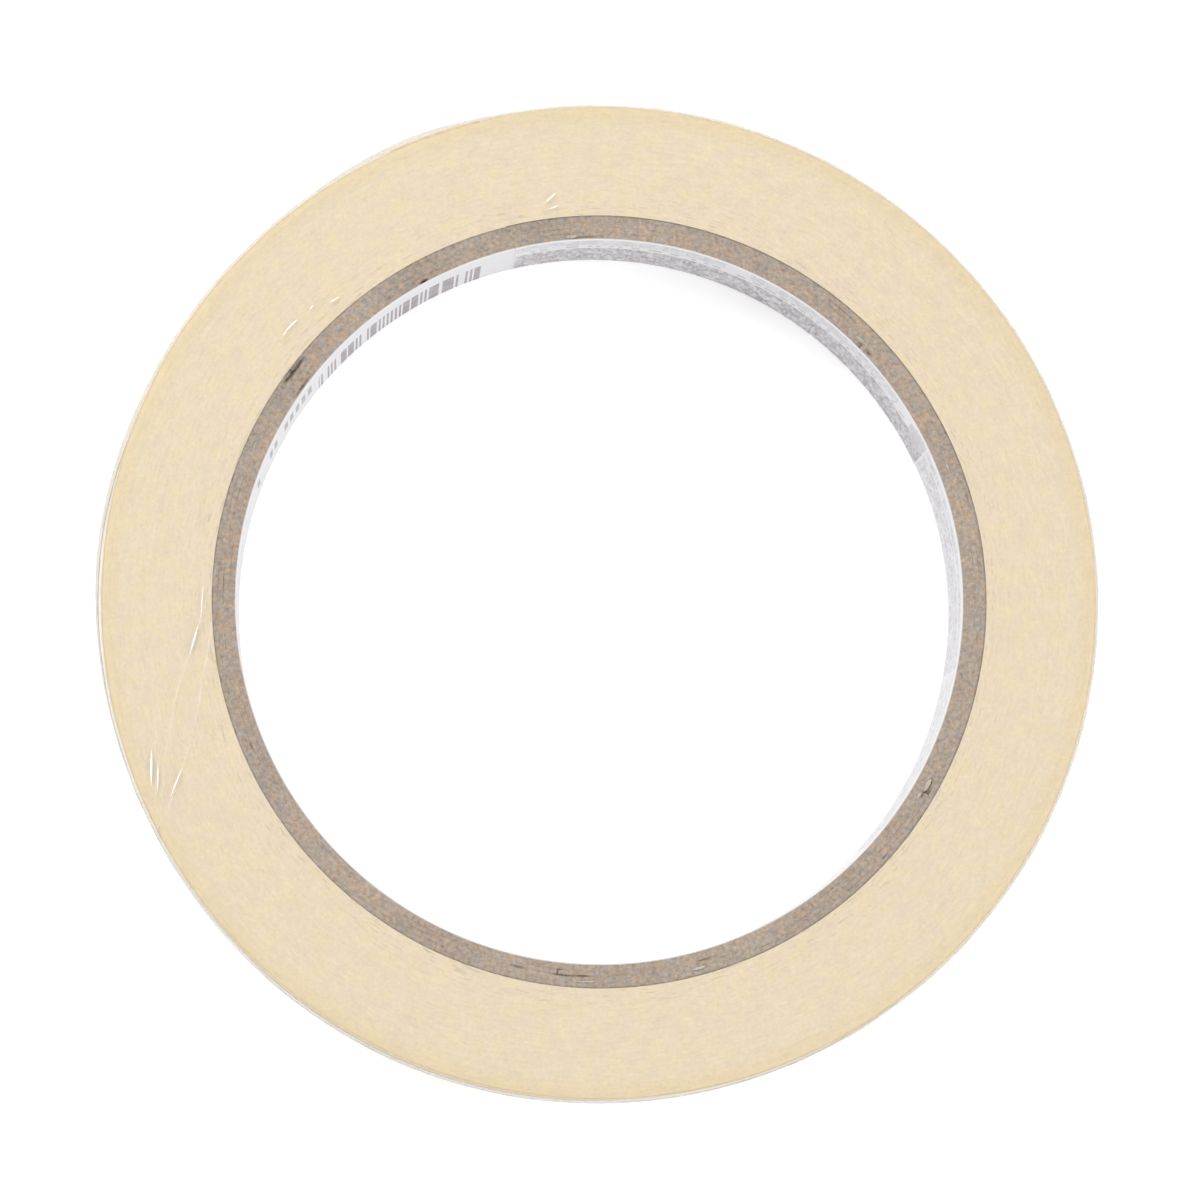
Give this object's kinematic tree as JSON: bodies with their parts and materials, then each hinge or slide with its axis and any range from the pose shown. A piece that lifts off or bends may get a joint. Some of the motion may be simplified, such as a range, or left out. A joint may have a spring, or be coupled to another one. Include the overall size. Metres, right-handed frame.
{
  "type": "masking tape roll",
  "caption": "Roll of cream crepe masking tape on a chipboard core with a printed paper lining, closed in clear shrink film that lifts off either side.",
  "frame": {"origin": "on the roll's axis, in the plane that the film's back face rests on", "axes": "+Z along the roll's axis, away from the surface it lies on; +X to the right and +Y up when its front face is seen"},
  "size_m": [0.1052, 0.1052, 0.0152],
  "materials": {
    "masking_tape": "satin",
    "board": "matte",
    "printed_paper": "matte",
    "film": "gloss"
  },
  "bodies": {
    "film_back": {"film_back": "film"},
    "roll": {"core_ply_1": "board", "core_ply_2": "board", "core_ply_3": "board", "core_ply_4": "board", "core_liner": "printed_paper", "tape_winding": "masking_tape"},
    "film_front": {"film_front": "film"},
    "tail": {"tape_tail": "masking_tape"}
  },
  "joints": [
    {"name": "roll_lift_out", "type": "slide", "parent": "film_back", "child": "roll", "axis": [0, 0, 1], "range_m": [0, 0.1]},
    {"name": "film_front_off", "type": "slide", "parent": "roll", "child": "film_front", "axis": [0, 0, 1], "range_m": [0, 0.1]},
    {"name": "tail_peel", "type": "hinge", "parent": "roll", "child": "tail", "pos_m": [-0.01272, 0.05081, 0.0076], "axis": [0, 0, -1], "range_deg": [0, 40]}
  ],
  "couplings": [
    {"joint": "film_front_off", "follows": "roll_lift_out", "ratio": 1},
    {"joint": "tail_peel", "follows": "roll_lift_out", "rad_per_m": 6.9}
  ]
}
